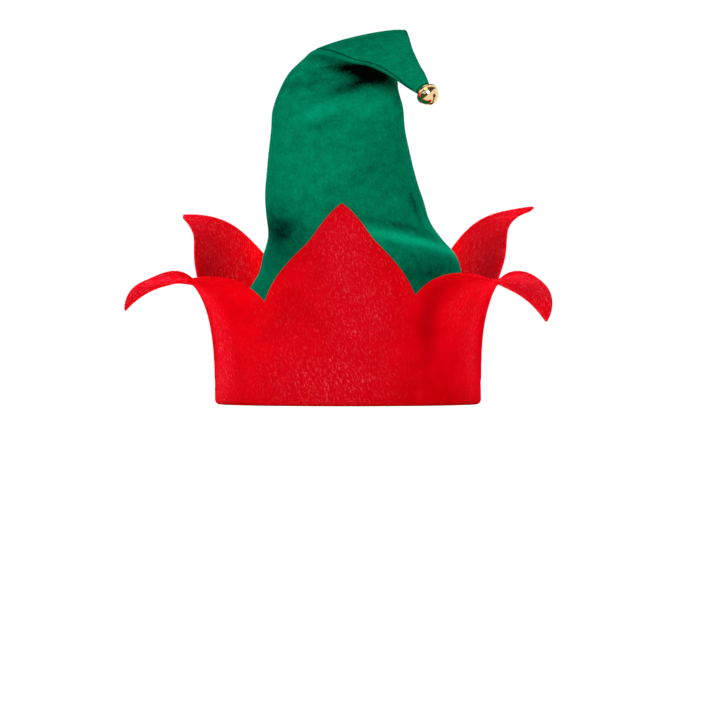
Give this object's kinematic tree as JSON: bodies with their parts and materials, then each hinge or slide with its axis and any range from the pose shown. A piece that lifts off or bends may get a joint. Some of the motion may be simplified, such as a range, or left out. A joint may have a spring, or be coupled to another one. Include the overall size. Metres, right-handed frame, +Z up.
{
  "type": "elf hat",
  "caption": "Felt elf hat: a green crown whose tip folds forward and ends in a jingle bell, with a red cuff cut into curling petals.",
  "frame": {"origin": "centre of the head opening, in the plane of the rim", "axes": "+Z up out of the head opening, +X to the viewer's right when the hat is seen from its front, -Y to the front"},
  "size_m": [0.268, 0.2073, 0.2426],
  "materials": {
    "green_felt": "soft brushed pile, matt",
    "red_felt": "soft brushed pile with loose fibres, matt",
    "gold_plate": "polished gold colour plating",
    "pellet_steel": "plain steel"
  },
  "bodies": {
    "root": {"petal_cuff": "red_felt", "crown_front_panel": "green_felt", "crown_back_panel": "green_felt", "bell_shell": "gold_plate", "bell_pellet": "pellet_steel"}
  },
  "joints": []
}
